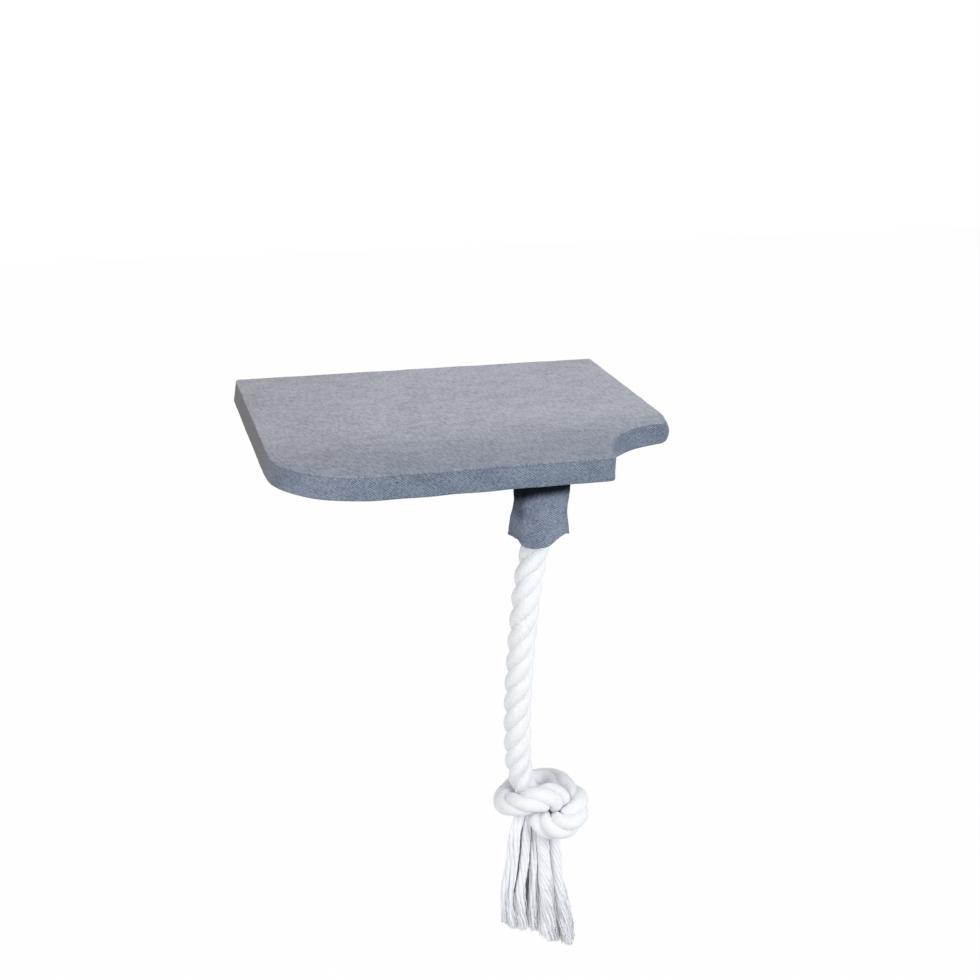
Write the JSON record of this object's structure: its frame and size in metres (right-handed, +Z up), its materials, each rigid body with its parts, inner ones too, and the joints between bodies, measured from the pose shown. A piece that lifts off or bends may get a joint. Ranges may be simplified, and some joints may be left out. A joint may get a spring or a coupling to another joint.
{
  "type": "cat wall platform",
  "caption": "Upholstered wall platform for a cat, with a round-notched front corner, steel wall brackets and a knotted, tasselled cotton rope hanging from a cloth cuff.",
  "frame": {"origin": "middle of the board's rear edge, where its cloth-covered rear face bears on the wall", "axes": "+X along the wall to the right as seen from the room, +Y into the wall, +Z up"},
  "size_m": [0.4, 0.3304, 0.569],
  "materials": {
    "cover_sitting_face": "brushed grey-blue cotton twill",
    "cover_band": "grey-blue cotton twill",
    "lining": "thin black nonwoven cloth",
    "foam": "cream upholstery foam",
    "plywood": "bare plywood",
    "bracket_paint": "satin black powder coat on steel",
    "zinc_steel": "bright zinc plate on steel",
    "cotton_rope": "natural white twisted cotton"
  },
  "bodies": {
    "platform": {"core_board": "plywood", "foam_pad": "foam", "cover_top_panel": "cover_sitting_face", "cover_side_band": "cover_band", "underside_lining": "lining", "bracket_left": "bracket_paint", "bracket_right": "bracket_paint", "bracket_screw_1": "zinc_steel", "bracket_screw_2": "zinc_steel", "bracket_screw_3": "zinc_steel", "bracket_screw_4": "zinc_steel", "bracket_screw_5": "zinc_steel", "bracket_screw_6": "zinc_steel", "cuff_block": "plywood", "block_screw_1": "zinc_steel", "block_screw_2": "zinc_steel", "tee_nut": "zinc_steel", "eye_bolt": "zinc_steel", "cuff": "cover_band"},
    "link": {"rope_link": "zinc_steel"},
    "rope": {"rope_cap": "zinc_steel", "rope": "cotton_rope", "rope_knot": "cotton_rope", "rope_tassel": "cotton_rope"}
  },
  "joints": [
    {"name": "rope_swing_front_back", "type": "hinge", "parent": "platform", "child": "link", "pos_m": [0.0528, -0.28, -0.04505], "axis": [1, 0, 0], "range_deg": [-12, 12]},
    {"name": "rope_swing_side", "type": "hinge", "parent": "link", "child": "rope", "pos_m": [0.0528, -0.28, -0.05675], "axis": [0, 1, 0], "range_deg": [-12, 10]}
  ]
}
